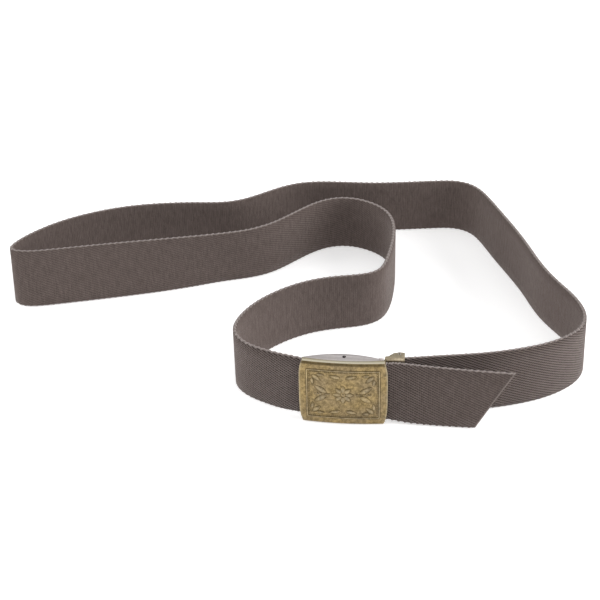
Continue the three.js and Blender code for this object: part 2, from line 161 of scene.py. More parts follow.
# %% Lines, and solids from rings of points
def arc(centre, radius, start, end, number):
    """Points along an arc, between two angles in degrees; two radii make it part of an ellipse."""
    angles = np.radians(np.linspace(start, end, number))
    circle = np.stack([np.cos(angles), np.sin(angles)], -1)
    return (centre + radius * circle).tolist()


def ring_line(centre, radius, sides=20):
    return arc(centre, radius, 0, 360 * (1 - 1 / sides), sides)


def swept(name, rings, closed=False, strips=False):
    """A solid through rings of points. Unless it closes on itself, a face or strips cap each end."""
    rows, n = len(rings), len(rings[0])
    faces = [
        (i * n + j, i * n + (j + 1) % n, (i + 1) % rows * n + (j + 1) % n, (i + 1) % rows * n + j)
        for i in range(rows if closed else rows - 1)
        for j in range(n)
    ]
    cap = [(j, j + 1, n - 2 - j, n - 1 - j) for j in range(n // 2 - 1)] if strips else [range(n)]
    if not closed:
        faces += [tuple(reversed(face)) for face in cap]
        faces += [tuple((rows - 1) * n + j for j in face) for face in cap]
    return new_piece(name, [point for ring in rings for point in ring], faces)


def lathe_faces(rows, around):
    """The faces of a turned form: a pole, rows of points round its axis and the other pole."""
    faces = []
    last = 1 + (rows - 1) * around
    for j in range(around):
        k = (j + 1) % around
        faces.append((0, 1 + k, 1 + j))
        faces += [(a + j, a + k, a + around + k, a + around + j) for a in range(1, last, around)]
        faces.append((last + j, last + k, last + around))
    return faces


def pebble(name, size, rings, around):
    """A closed egg shape with those half sizes, its poles along X."""
    points = [(-size[0], 0, 0)]
    for a in np.linspace(0, math.pi, rings + 1)[1:-1]:
        ring = ring_line((0, 0), math.sin(a), around)
        points += [(-size[0] * math.cos(a), size[1] * y, size[2] * z) for y, z in ring]
    points.append((size[0], 0, 0))
    return new_piece(name, points, lathe_faces(rings - 1, around))


print("a pebble with 5 rows of 8 points has", len(lathe_faces(5, 8)), "faces")


# %% Marks on points and maps on faces
def coordinates(piece):
    """The piece's points, a row for each."""
    points = np.zeros(3 * len(piece.data.vertices), np.float32)
    piece.data.vertices.foreach_get("co", points)
    return points.reshape(-1, 3)


def attribute(piece, name, values):
    layer = piece.data.attributes.new(name, "FLOAT", "POINT")
    layer.data.foreach_set("value", np.asarray(values, np.float32))


def corner_points(piece):
    """The number of the point at each corner of each face."""
    corners = np.zeros(len(piece.data.loops), int)
    piece.data.loops.foreach_get("vertex_index", corners)
    return corners


def face_map(piece, name, u, v):
    layer = piece.data.uv_layers.new(name=name)
    layer.data.foreach_set("uv", np.stack([u, v], -1).astype(np.float32).ravel())


print("points carry marks such as wear, and faces carry maps in metres")

# %% [markdown]
# The strap first. It is one length of webbing, so one smooth curve describes it: the line its lower
# edge takes over the floor, with the same control points as the solid model's. Two more columns say
# how the upper edge leans off the lower one, and the last how far the strap is lifted off the floor.

# %% The route of the strap
WEB_WIDTH = 37.6
WEB_THICKNESS = 2.4
WEB_LOW = 1.95
TAIL_CUT = 21.5
TAIL_CUT_REACH = 60
ROUTE_STEPS = 24

# x, y, tip of the upper edge in x and in y, rise; in millimetres, and 0 where a row leaves them out
ROUTE = [
    # clamp
    (55.9, -102.4, 0, 0, WEB_LOW), (69.5, -102.3, 0, 0, WEB_LOW),
    # right front
    (90.4, -99.7, 0, 1, 0.6), (110.4, -99.7, 0, 2.8), (129.4, -96.6, 0, 2.7), (147.4, -91.1, 0, 2),
    # right bend
    (161.4, -83, 0, 1), (172.9, -72.2), (178.4, -56.7, -1),
    # right side
    (175.4, -37.7, -1.8), (168.4, -23.2, -1.4), (160.9, -6.7), (156.9, 9.3), (153.4, 28.3),
    (146.8, 50.3, 1.2), (140.2, 71.3, 1.7),
    # far corner
    (135.1, 91.3, 1.3), (129.4, 107.9, 0.5, 0.4), (117.4, 116.3),
    # back
    (100.4, 115.7), (82.4, 115.1), (62.4, 114.7), (42.4, 117.1), (24.4, 119.5), (6.4, 118),
    # back dip
    (-9.6, 108.6), (-25.6, 96.8), (-41.6, 91.4),
    # back left
    (-61.6, 93.5), (-83.6, 93.2), (-105.6, 90.9), (-129.6, 83.3), (-152.6, 70.6),
    # left fold
    (-170.5, 53.1), (-177.6, 40.5, 0, 1), (-178.1, 30.3, 0, 6), (-171.6, 24.8, 0, 9.5),
    # left front
    (-160.6, 24.7, 0, 9.5), (-142.6, 28, 0, 9), (-121.6, 31.6, 0, 8.4), (-100.6, 35.6, 0, 6.8),
    (-80.6, 39.9, 0, 4.4), (-61.6, 45.2, 0, 1.4), (-43.6, 51.1, 0, -1.8),
    # hump
    (-26.6, 54.1, 0, -1.5), (-12.6, 59.1), (-0.6, 69.3), (11.4, 81.5), (25.4, 92.5, 0, 0.8),
    (41.4, 95.3, 0, 0.8), (57.4, 87.3, 0, 0.8), (68.9, 73.8),
    # inner bend
    (71.2, 54.3), (68.7, 34.3), (65.6, 14.8, -1.2), (59.4, -2.2),
    # inner run
    (46.4, -8.5, 0, 1.5), (29.4, -10.1, 0, 2.3), (12.4, -14.5, -0.4, 2.3), (-3.6, -23.9, -1, 2),
    (-17.1, -36.2, -1.5, 1.6),
    # left bend
    (-27.6, -51.7, -1.2, 1), (-32.6, -66.7), (-25.6, -79.7), (-14.1, -87.9, 0, 0.7),
    # buckle approach
    (-4.6, -94.7, 0, 2, 0.5),
    # buckle
    (3.4, -99.3, 0, 1.4, WEB_LOW), (11.4, -101.7, 0, 0, WEB_LOW), (20.4, -103.7, 0, 0, WEB_LOW),
    (31.8, -105.9, 0, 0, WEB_LOW), (42.9, -107.5, 0, 0, WEB_LOW), (51.7, -108.4, 0, 0, WEB_LOW),
    # tail
    (57.6, -109.7, 0, 3, WEB_LOW), (65.4, -111.9, 0, 6, 0.8), (81.4, -114.3, 0, 5.4),
    (100.4, -116.9, 0, 3.8), (115.4, -118.7, 0, 2.8), (126.9, -120.5, 0, 2.6),
]


def smooth_curve(rows, steps):
    """Closely spaced samples of the cubic B-spline that the rows lead, from the first to the last."""
    rows = np.vstack([2 * rows[0] - rows[1], rows, 2 * rows[-1] - rows[-2]])
    t = np.arange(steps)[:, None] / steps
    s = 1 - t
    samples = []
    for a, b, c, d in zip(rows, rows[1:], rows[2:], rows[3:]):
        blend = s ** 3 * a + (3 * t ** 3 - 6 * t ** 2 + 4) * b
        samples.append((blend + (3 * s ** 3 - 6 * s ** 2 + 4) * c + t ** 3 * d) / 6)
    samples.append((rows[-3:-2] + 4 * rows[-2:-1] + rows[-1:]) / 6)
    return np.vstack(samples)


route = smooth_curve(np.array([(*row, 0, 0, 0)[:5] for row in ROUTE]), ROUTE_STEPS)
route_length = np.concatenate([[0], np.cumsum(np.hypot(*np.diff(route[:, :2], axis=0).T))])
STRAP_LENGTH = route_length[-1]
print(f"the strap is {STRAP_LENGTH / 1000:.3f} m long")

# %% [markdown]
# At any length along that line, the strap needs to know where its lower edge is, which way is up
# across its width and which way is out. These directions carry the webbing, its ribs and its
# selvedges, so that they all stay together.

# %% Place on the strap
TANGENT_REACH = 0.6


def strap_place(length):
    """Foot, up and outward directions at lengths along the strap, in millimetres."""
    length = np.asarray(length, float)
    x, y, tip_x, tip_y, rise = (np.interp(length, route_length, column) for column in route.T)
    ahead, behind = (
        [np.interp(length + reach, route_length, column) for column in route.T[:2]]
        for reach in (TANGENT_REACH, -TANGENT_REACH)
    )
    along = np.stack([ahead[0] - behind[0], ahead[1] - behind[1], 0 * x], -1)
    stand = np.sqrt(WEB_WIDTH ** 2 - tip_x ** 2 - tip_y ** 2)
    up = np.stack([tip_x, tip_y, stand], -1) / WEB_WIDTH
    out = np.cross(up, along)
    out /= np.linalg.norm(out, axis=-1, keepdims=True)
    foot = np.stack([x, y, rise + np.abs(out[..., 2]) * WEB_THICKNESS / 2], -1)
    return foot, up, out


def tail_end(height):
    """The strap's full length at a height, less at its lower edge because of the slanting cut."""
    return STRAP_LENGTH - TAIL_CUT * (1 - height / WEB_WIDTH)


def cut_length(length, height):
    """Where a section stands at a height: near the tail's end it slants with the cut."""
    blend_start = STRAP_LENGTH - TAIL_CUT_REACH
    share = (tail_end(height) - blend_start) / TAIL_CUT_REACH
    return np.where(length > blend_start, blend_start + (length - blend_start) * share, length)


middle = strap_place(STRAP_LENGTH / 2)[0]
print("half way along, the strap stands at", np.round(middle, 1), "mm")

# %% [markdown]
# The webbing is a twill: the threads along the strap pass over two picks of weft and under one, a
# step further on in each next thread, which draws fine diagonals that repeat every three picks. From
# close by, the ribs of the picks show in the strap's outline, so they are real: its section, which
# has only fourteen corners, is repeated four times to a pick and swells and sinks a little.
#
# The twill is sharpest beside the buckle and blurs into plain upright ribs further off. The points
# carry that too, as a mark named crisp.

# %% The webbing
PICK = 1.24
REPEAT_PICKS = 3
REPEAT = REPEAT_PICKS * PICK
YARN = 0.55
SWELLS = ((PICK, 0.025), (REPEAT, 0.012))
SECTION_STEP = PICK / 4
EDGE_HALF = 0.75
EDGE_INSET = 0.5
BACK_OFFSET = 0.05

# distance from the middle of the thickness, height; a negative distance is the strap's inner side
SIDE_HEIGHTS = (0.85, 7, 18.8, 30.6, WEB_WIDTH - 0.85)
flank = [(WEB_THICKNESS / 2, height) for height in SIDE_HEIGHTS]
outer_side = [(EDGE_HALF, EDGE_INSET), *flank, (EDGE_HALF, WEB_WIDTH - EDGE_INSET)]
inner_side = [(-distance, height) for distance, height in reversed(outer_side)]
SECTION = [inner_side[-1], *outer_side, *inner_side[:-1]]

# distances from the clamp or from the tail's tip, and how crisp the weave is there
CRISP_FROM_CLAMP = ((0, 130, 260), (1.4, 1.1, 0.3))
CRISP_FROM_TIP = ((0, 45, 80, 130, 190), (0.4, 0.65, 1.1, 1.1, 0.3))


def webbing():
    """The strap's mesh, and the length and height of each of its points."""
    sections = int(STRAP_LENGTH / SECTION_STEP)
    start = np.linspace(0, STRAP_LENGTH, sections + 1)[:, None]
    thickness, height = (0 * start + column for column in np.array(SECTION).T)
    length = cut_length(start + 0 * height, height)
    swell = sum(size * (np.cos(2 * np.pi * length / pitch) - 1) for pitch, size in SWELLS)
    thickness = thickness + np.sign(thickness) * swell
    foot, up, out = strap_place(length)
    points = (foot + up * height[..., None] + out * thickness[..., None]) * MM
    return swept("webbing_strap", points), length.ravel(), height.ravel()


def weave_map(piece, length, height):
    """A map in metres: u along the strap and v up across it, with an offset on its back."""
    corners = corner_points(piece)
    number = np.arange(len(corners))
    # each face has four corners but the caps at the strap's ends, which come last
    side = number // 4 % len(SECTION)
    wall = number < len(corners) - 2 * len(SECTION)
    on_back = wall & (side > 0) & (side < len(SIDE_HEIGHTS) + 2)
    face_map(piece, "weave", length[corners] * MM, height[corners] * MM + BACK_OFFSET * on_back)


def crispness(length):
    from_tip = STRAP_LENGTH - length
    beside_clamp = np.interp(length, *CRISP_FROM_CLAMP)
    return np.where(length < from_tip, beside_clamp, np.interp(from_tip, *CRISP_FROM_TIP))


webbing_strap, along_strap, up_strap = webbing()
weave_map(webbing_strap, along_strap, up_strap)
attribute(webbing_strap, "from_cut", (tail_end(up_strap) - along_strap) * MM)
attribute(webbing_strap, "crisp", crispness(along_strap))
count(webbing_strap)

# %% [markdown]
# Along both edges the weft turns back on itself once in every repeat of the weave, and the turns
# stand a little proud: from a distance, a corded rim that is lighter than the faces. Hundreds of like
# shapes at an even pitch are work for Geometry Nodes, which divide a line evenly and put one shape on
# each point, facing along it.

# %% Helpers for nodes
def feed(node, values):
    """Gives a node's inputs other nodes' outputs, colours or numbers."""
    for key, value in values.items():
        if isinstance(value, bpy.types.NodeSocket):
            node.id_data.links.new(value, node.inputs[key])
        else:
            node.inputs[key].default_value = (*value, 1) if isinstance(value, tuple) else value


def new_node(kind, values, tree=None, **settings):
    """The outputs of a new node, fed with its values, in their tree if none is named."""
    sockets = (value for value in values.values() if isinstance(value, bpy.types.NodeSocket))
    node = (tree or next(sockets).id_data).nodes.new(kind)
    for key, value in settings.items():
        setattr(node, key, value)
    feed(node, values)
    return node.outputs


def new_group(name, kind, inputs, outputs):
    """A node group with sockets by name and kind, its input node's outputs and its output node."""
    group = bpy.data.node_groups.new(name, kind)
    for side, sockets in (("INPUT", inputs), ("OUTPUT", outputs)):
        for socket, holds in sockets.items():
            group.interface.new_socket(name=socket, in_out=side, socket_type="NodeSocket" + holds)
    return group, group.nodes.new("NodeGroupInput").outputs, group.nodes.new("NodeGroupOutput")


print("a colour is given by three numbers, and its fourth is 1")

# %% A node tree that strings one shape along a line
STRING_INPUTS = {
    "Geometry": "Geometry", "Shape": "Object", "Count": "Int", "Twist": "Float", "Material": "Material",
}


def string_tree():
    """A number of one shape, evenly along each mesh line and facing along it."""
    tree, given, result = new_group(
        "string_along_line", "GeometryNodeTree", STRING_INPUTS, {"Geometry": "Geometry"}
    )
    curve = new_node("GeometryNodeMeshToCurve", {"Mesh": given["Geometry"]})[0]
    values = {"Curve": curve, "Count": given["Count"]}
    points = new_node("GeometryNodeResampleCurve", values, mode="COUNT")[0]
    tangent = new_node("GeometryNodeInputTangent", {}, tree)[0]
    values = {"Vector": tangent}
    facing = new_node("FunctionNodeAlignRotationToVector", values, axis="X", pivot_axis="Z")[0]
    angle = new_node("ShaderNodeCombineXYZ", {"Z": given["Twist"]})[0]
    turn = new_node("FunctionNodeEulerToRotation", {"Euler": angle})[0]
    values = {"Rotation": facing, "Rotate By": turn}
    twisted = new_node("FunctionNodeRotateRotation", values, rotation_space="LOCAL")[0]
    shape = new_node("GeometryNodeObjectInfo", {"Object": given["Shape"]})["Geometry"]
    values = {"Points": points, "Instance": shape, "Rotation": twisted}
    instances = new_node("GeometryNodeInstanceOnPoints", values)[0]
    real = new_node("GeometryNodeRealizeInstances", {"Geometry": instances})[0]
    values = {"Geometry": real, "Material": given["Material"]}
    feed(result, {"Geometry": new_node("GeometryNodeSetMaterial", values)[0]})
    return tree


STRING_TREE = string_tree()
STRING_IDS = {
    socket.name: socket.identifier
    for socket in STRING_TREE.interface.items_tree
    if socket.in_out == "INPUT"
}
print("the tree's inputs:", ", ".join(STRING_IDS))


# %% Strings of shapes
def strung(name, lines, shape, number, material=None, twist=0.0, closed=False):
    """A plain mesh of a number of one shape, strung along each of the lines of points."""
    points, edges = [], []
    for line in lines:
        first = len(points)
        points += [(*p, 0)[:3] for p in line]
        edges += [(i, i + 1) for i in range(first, len(points) - 1)]
        if closed:
            edges.append((len(points) - 1, first))
    piece = new_piece(name, points, [], edges)
    modifier = piece.modifiers.new("string", "NODES")
    modifier.node_group = STRING_TREE
    values = {"Shape": shape, "Count": number, "Twist": twist, "Material": material}
    for key, value in values.items():
        if value is not None:
            modifier[STRING_IDS[key]] = value
    piece = evaluated(piece)
    bpy.data.objects.remove(shape)
    return piece


print("a line of points without heights lies at height 0")

# %% [markdown]
# Colour comes next, since the strings of turns need their material. Effects that several finishes
# share are shader groups: speckle gives the uneven tone of dyed yarn and of old brass, and weave
# gives the pattern of threads from the strap's own map, whose numbers are metres.


# %% Helpers for materials
def maths(operation, *values, clamp=False):
    numbered = dict(enumerate(values))
    return new_node("ShaderNodeMath", numbered, operation=operation, use_clamp=clamp)[0]


def mixed(factor, a, b):
    """A mix of two colours, which are the node's inputs 6 and 7."""
    return new_node("ShaderNodeMix", {0: factor, 6: a, 7: b}, data_type="RGBA")[2]


def smooth_step(value, low, high):
    """0 at the low value and 1 at the high one, eased between them."""
    values = {"Value": value, "From Min": low, "From Max": high}
    return new_node("ShaderNodeMapRange", values, interpolation_type="SMOOTHSTEP")["Result"]


def spread(noise, contrast):
    """Noise stretched about its middle, as a mask from 0 to 1."""
    return maths("MULTIPLY_ADD", maths("SUBTRACT", noise, 0.5), contrast, 0.5, clamp=True)


def map_parts(tree, name):
    """The two coordinates of the map of that name."""
    place = new_node("ShaderNodeUVMap", {}, tree, uv_map=name)["UV"]
    split = new_node("ShaderNodeSeparateXYZ", {"Vector": place})
    return split["X"], split["Y"]


def marked(tree, name):
    """The mark of that name, from the points."""
    return new_node("ShaderNodeAttribute", {}, tree, attribute_name=name)["Fac"]


def shader_group(name, inputs, outputs):
    """A group of shader nodes whose sockets all hold numbers."""
    return new_group(
        name, "ShaderNodeTree", dict.fromkeys(inputs, "Float"), dict.fromkeys(outputs, "Float")
    )


print("materials read object coordinates, a piece's own map or its marks")


# %% Speckle, shared by cloth and metal
def speckle_group():
    """Fractal noise in object coordinates, as a mask from 0 to 1."""
    group, given, sink = shader_group("speckle", ["Scale", "Detail", "Contrast"], ["Mask"])
    place = new_node("ShaderNodeTexCoord", {}, group)["Object"]
    values = {"Vector": place, "Scale": given["Scale"], "Detail": given["Detail"]}
    noise = new_node("ShaderNodeTexNoise", values)["Fac"]
    feed(sink, {"Mask": spread(noise, given["Contrast"])})
    return group


SPECKLE = speckle_group()


def speckle(tree, scale, detail, contrast):
    values = {"Scale": scale, "Detail": detail, "Contrast": contrast}
    return new_node("ShaderNodeGroup", values, tree, node_tree=SPECKLE)["Mask"]


print("speckle group is ready")

# %% The weave
# how far from its middle a float ends, from where it fades to where it is full
FLOAT_ENDS = (0.42, 0.24)
# slope and floor of how proud the threads stand: along a float, across the back's picks and yarns
FLOAT_SWELL = (0.5, 0.68)
BACK_PICKS = (0.5, 0.4)
BACK_YARNS = (0.5, 0.45)
YARN_ROUNDNESS = 0.7
# streaks to a metre along the strap and across it
STREAKS = (700.0, 150.0)
STREAK_CONTRAST = 2.4


def streaks(along, up):
    """A mask from 0 to 1 for picks that lie tighter or looser than their neighbours."""
    x, y = (maths("MULTIPLY", value, scale) for value, scale in zip((along, up), STREAKS))
    place = new_node("ShaderNodeCombineXYZ", {"X": x, "Y": y})["Vector"]
    noise = new_node("ShaderNodeTexNoise", {"Vector": place, "Scale": 1.0, "Detail": 2.0})["Fac"]
    return spread(noise, STREAK_CONTRAST)


def weave_group():
    """Threads from the strap's map: a twill on its face, upright ribs on its back."""
    group, given, sink = shader_group("weave", ["Pick", "Yarn"], ["Height", "Gap", "Streak"])
    along, up = map_parts(group, "weave")
    on_back = maths("GREATER_THAN", up, BACK_OFFSET * 0.9)
    level = maths("MULTIPLY_ADD", on_back, -BACK_OFFSET, up)
    yarns = maths("DIVIDE", level, given["Yarn"])
    picks = maths("DIVIDE", along, given["Pick"])
    yarn, rib = (
        maths("ABSOLUTE", maths("SINE", maths("MULTIPLY", number, math.pi)))
        for number in (yarns, picks)
    )
    step = maths("ADD", picks, maths("FLOOR", yarns))
    phase = maths("FRACT", maths("DIVIDE", step, REPEAT_PICKS))
    off_middle = maths("ABSOLUTE", maths("SUBTRACT", phase, 0.5))
    floats = smooth_step(off_middle, *FLOAT_ENDS)
    floats = maths("MULTIPLY", floats, maths("MULTIPLY_ADD", rib, *FLOAT_SWELL))
    twill = maths("MULTIPLY", floats, maths("POWER", yarn, YARN_ROUNDNESS))
    back_picks = maths("MULTIPLY_ADD", rib, *BACK_PICKS)
    ribs = maths("MULTIPLY", back_picks, maths("MULTIPLY_ADD", yarn, *BACK_YARNS))
    on_face = maths("MULTIPLY", maths("SUBTRACT", 1.0, on_back), twill)
    height = maths("ADD", maths("MULTIPLY", on_back, ribs), on_face)
    # where the threads sink: a mask that the webbing uses for painted shade
    gap_shade = maths("SUBTRACT", 1.0, height, clamp=True)
    feed(sink, {"Height": height, "Gap": gap_shade, "Streak": streaks(along, level)})
    return group


WEAVE = weave_group()
print("weave group is ready")

# %% Webbing material
# pairs are the darkest and the lightest of a tone
PICK_TONES = ((0.132, 0.100, 0.090), (0.242, 0.190, 0.173))
FIBRE_TONES = ((0.140, 0.107, 0.096), (0.240, 0.190, 0.172))
THREAD_TONES = ((0.160, 0.130, 0.120), (0.280, 0.235, 0.218))
# painted shade in the gaps between threads
GAP_SHADE_TONE = (0.022, 0.016, 0.014)
SEALED_TONE = (0.20, 0.165, 0.15)
SHEEN_TONE = (0.9, 0.82, 0.78)
FIBRE_SHARE = 0.45
# the mean of the painted gap shade, kept where the weave is blurred
MEAN_GAP_SHADE = 0.52
# distances from the tail's cut, from where its sealed rim fades to where it is full
SEALED_RIM = (1.2 * MM, 0.4 * MM)


def new_material(name):
    material = bpy.data.materials.new(name)
    material.use_nodes = True
    return material, material.node_tree, material.node_tree.nodes["Principled BSDF"]


def bump(height, strength, distance):
    values = {"Height": height, "Strength": strength, "Distance": distance}
    return new_node("ShaderNodeBump", values)["Normal"]


def webbing_material():
    """Dyed yarn, with painted shade in the gaps between its threads where the weave is crisp."""
    material, tree, shader = new_material("taupe_webbing")
    sizes = {"Pick": PICK * MM, "Yarn": YARN * MM}
    weave = new_node("ShaderNodeGroup", sizes, tree, node_tree=WEAVE)
    fibre = speckle(tree, 1400, 2, 2.4)
    tone = mixed(weave["Streak"], *PICK_TONES)
    base = mixed(FIBRE_SHARE, tone, mixed(fibre, *FIBRE_TONES))
    crisp = marked(tree, "crisp")
    off_mean = maths("SUBTRACT", weave["Gap"], MEAN_GAP_SHADE)
    # painted shade between threads, eased to its mean where the weave is blurred
    gap_shade = maths("MULTIPLY_ADD", off_mean, crisp, MEAN_GAP_SHADE)
    sealed = smooth_step(marked(tree, "from_cut"), *SEALED_RIM)
    threads = maths("MULTIPLY", weave["Height"], crisp)
    feed(shader, {
        "Base Color": mixed(sealed, mixed(gap_shade, base, GAP_SHADE_TONE), SEALED_TONE),
        "Roughness": 0.92,
        "Specular IOR Level": 0.2,
        "Sheen Weight": 0.3,
        "Sheen Roughness": 0.35,
        "Sheen Tint": SHEEN_TONE,
        "Normal": bump(maths("MULTIPLY_ADD", fibre, 0.3, threads), 0.9, 0.35 * MM),
    })
    return material


def thread_material():
    """The selvedges' thread, lighter than the webbing and without its painted shade between threads."""
    material, tree, shader = new_material("selvedge_thread")
    fibre = speckle(tree, 1800, 2, 2)
    feed(shader, {
        "Base Color": mixed(fibre, *THREAD_TONES),
        "Roughness": 0.85,
        "Sheen Weight": 0.3,
        "Normal": bump(fibre, 0.4, 0.2 * MM),
    })
    return material


TAUPE_WEBBING = webbing_material()
SELVEDGE_THREAD = thread_material()
webbing_strap.data.materials.append(TAUPE_WEBBING)
print("webbing materials:", TAUPE_WEBBING.name, SELVEDGE_THREAD.name)

# %% [markdown]
# Now the selvedges can be strung, each along a line just inside an edge of the strap. A turn is a
# pair of flattened eggs, for the two strands of weft that cross the edge there. They lie askew across
# the strap's thickness, like the strands of a cord.

# %% Selvedges
TURN_PITCH = REPEAT
TURN_SKEW = Matrix.Rotation(math.radians(35), 4, "Z")
TURN_RISE = 0.55
EDGE_STEP = 1.2
# half sizes of each strand, and where it lies along the turn
STRANDS = [((1.6, 0.8, TURN_RISE), -0.7), ((1.2, 0.55, 0.25), 1.3)]


def turn_of_weft():
    strands = []
    for size, along in STRANDS:
        strand = pebble("strand", size, 5, 6)
        strand.data.transform(Matrix.Scale(MM, 4) @ Matrix.Translation((along, 0, 0)) @ TURN_SKEW)
        strands.append(strand)
    return joined("turn", strands)


def edge_line(height, end):
    """The line of an edge's turns, at a height on the strap and up to a length along it."""
    foot, up, _ = strap_place(np.linspace(TURN_PITCH / 2, end, int(end / EDGE_STEP)))
    return (foot + up * height) * MM


edges = [
    edge_line(TURN_RISE, STRAP_LENGTH - TAIL_CUT - TURN_PITCH / 2),
    edge_line(WEB_WIDTH - TURN_RISE, STRAP_LENGTH - TURN_PITCH / 2),
]
turns = round(STRAP_LENGTH / TURN_PITCH)
selvedge = count(strung("selvedge_turns", edges, turn_of_weft(), turns, SELVEDGE_THREAD))

# %% [markdown]
# The face plate is pressed from one sheet of brass: bowed along its length, with its upper and lower
# edges folded back into lips, a crease along the upper fold and its corners drawn in. A sheet like
# that is a line of outer and inner section points, carried along the bow. A small bevel then breaks
# every edge, since no pressed edge is truly sharp, and catches the light.

# %% Sizes of the plate
PLATE_HALF = 25.3
PLATE_BOW = 1.8
PLATE_HEIGHT = 41.5
MIDDLE = PLATE_HEIGHT / 2
PLATE_THICKNESS = 1.2

# height on the plate, and how far in from its full length the end stands there
PLATE_EDGE = np.array([
    (0, 2.3), (1.5, 1.7), (4, 0.9), (8, 0.25), (13, 0),
    (30, 0), (35, 0.15), (38.5, 0.6), (40.4, 1.2), (PLATE_HEIGHT, 1.9),
])


def plate_half(height):
    return PLATE_HALF - np.interp(height, *PLATE_EDGE.T)


def plate_bow(u):
    return PLATE_BOW * (u / PLATE_HALF) ** 2


print("the plate is", 2 * PLATE_HALF, "by", PLATE_HEIGHT, "mm")


# %% Sheets and strips of metal
def slab(name, outer, inner):
    """A closed sheet between two grids of points, its outer and its inner side."""
    rings = [[*near, *reversed(far)] for near, far in zip(outer, inner)]
    return swept(name, rings, strips=True)


def sheet_strip(name, pairs, steps, place, edge):
    """A bent sheet: outer and inner section points, carried along by place(point, share)."""
    shares = np.linspace(-1, 1, steps + 1)
    sides = ([[place(point, share) for point in side] for share in shares] for side in zip(*pairs))
    piece = slab(name, *sides)
    bevel = piece.modifiers.new("edge", "BEVEL")
    bevel.width = edge
    bevel.segments = 2
    bevel.limit_method = "ANGLE"
    bevel.angle_limit = math.radians(50)
    return evaluated(piece)


print("sheets are closed all round, so they keep their thickness")

# %% The face plate
PLATE_STEPS = 72
LIP_THICKNESS = 0.7
LIP_MIDDLE, LIP_END = 4.0, 6.3
LIP_POINTS = (6.0, 5.0, 4.0, 3.0)
LIP_ROOT = 2.0
FOLD_RADIUS = 1.5
FOLD_INSIDE = 0.7
FOLD_TOP = 2.2
CREASE_DEPTH = 0.22
CREASE_WIDTH = 0.5
RIM_WIDTH = 0.45
RIM_FADE = 0.3
RIM_WEAR_AND_HIGHLIGHT = 0.2
# depths on the upper lip, and how rubbed bright it is there, which also paints a highlight along it
LIP_WEAR_AND_HIGHLIGHT = ((2.4, 3.4), (1, 0.4))
EDGE_SLACK = 0.1
FRONT_SHARE = 0.7
CREASE_SHADE = 1.5
HALF_WAY_ROUND = math.sqrt(0.5)


def crease(depth, height):
    """1 in the crease, half way round the upper fold, falling to 0 on both sides."""
    reach = FOLD_RADIUS * (1 - HALF_WAY_ROUND)
    away = np.hypot(depth - reach, height - (PLATE_HEIGHT - reach))
    return np.exp(-(away / CREASE_WIDTH) ** 2)


def creased(depth, height):
    sunk = CREASE_DEPTH * HALF_WAY_ROUND * float(crease(depth, height))
    return depth + sunk, height - sunk


def plate_pairs():
    """Section points as (depth, height), from the lower lip over the face to the upper lip."""
    lip = [((depth, 0.0), (depth, LIP_THICKNESS)) for depth in LIP_POINTS]
    inside = (PLATE_THICKNESS + FOLD_INSIDE, LIP_THICKNESS + FOLD_INSIDE)
    fold_out = arc((FOLD_RADIUS, FOLD_RADIUS), FOLD_RADIUS, 270, 180, 9)
    fold_in = arc(inside, FOLD_INSIDE, 270, 180, 9)
    lower = lip + list(zip(fold_out, fold_in))
    heights = np.linspace(FOLD_TOP, PLATE_HEIGHT - FOLD_TOP, 19)
    upper = [
        (creased(outer[0], PLATE_HEIGHT - outer[1]), (inner[0], PLATE_HEIGHT - inner[1]))
        for outer, inner in reversed(lower)
    ]
    return lower + [((0.0, height), (PLATE_THICKNESS, height)) for height in heights] + upper


def plate_place(point, share):
    """Bows a section point, and fits the lips' free edges to the bracket behind them."""
    depth, height = point
    u = share * float(plate_half(height))
    rear = LIP_MIDDLE + (LIP_END - LIP_MIDDLE) * share ** 2
    along_lip = max(0.0, (depth - LIP_ROOT) / (LIP_POINTS[0] - LIP_ROOT))
    v = plate_bow(u) + min(depth, LIP_ROOT)
    return (u, v + (rear - v) * along_lip, height)


def note_wear_highlight_and_shade(piece):
    """Marks painted shade in the crease, and painted highlights on the rubbed upper edge and ends."""
    u, v, height = coordinates(piece).T
    depth = v - plate_bow(u)
    ends = np.clip((np.abs(u) - plate_half(height) + RIM_WIDTH + RIM_FADE) / RIM_FADE, 0, 1)
    in_front = depth < PLATE_THICKNESS * FRONT_SHARE
    on_top = (height > PLATE_HEIGHT - EDGE_SLACK) * (depth > FOLD_RADIUS - EDGE_SLACK)
    top = on_top * np.interp(depth, *LIP_WEAR_AND_HIGHLIGHT)
    # painted shade: darkens the crease under the upper fold
    attribute(piece, "crevice", np.minimum(CREASE_SHADE * crease(depth, height), 1))
    # rubbed brass, and with it painted highlights along the upper lip and the ends' rims
    attribute(piece, "worn", np.maximum(RIM_WEAR_AND_HIGHLIGHT * ends * in_front, top))


plate_sheet = sheet_strip("plate_sheet", plate_pairs(), PLATE_STEPS, plate_place, edge=0.18)
note_wear_highlight_and_shade(plate_sheet)
count(plate_sheet)

# %% [markdown]
# The plate is dressed with cast relief: a moulding with a line of pearls inside it, a rosette with a
# sprig of leaves on either side, and smaller leaves in the corners. All of it is drawn on a flat
# ground and only then laid on to the bowed face, which keeps every shape simple.

# %% Flat relief
SKIRT = 0.3
SKIRT_RISE = 0.03
RELIEF_ROOT = -0.4
# how blunt a leaf is at its tips, where it is widest and how full it is
LEAF_TIP, LEAF_WIDEST, LEAF_FULLNESS = 0.03, 0.8, 0.75
MIDRIB_RISE, MIDRIB_WIDTH = 0.3, 0.2
FRAME_CORNER = 0.8
FRAME_STEP = 1.1


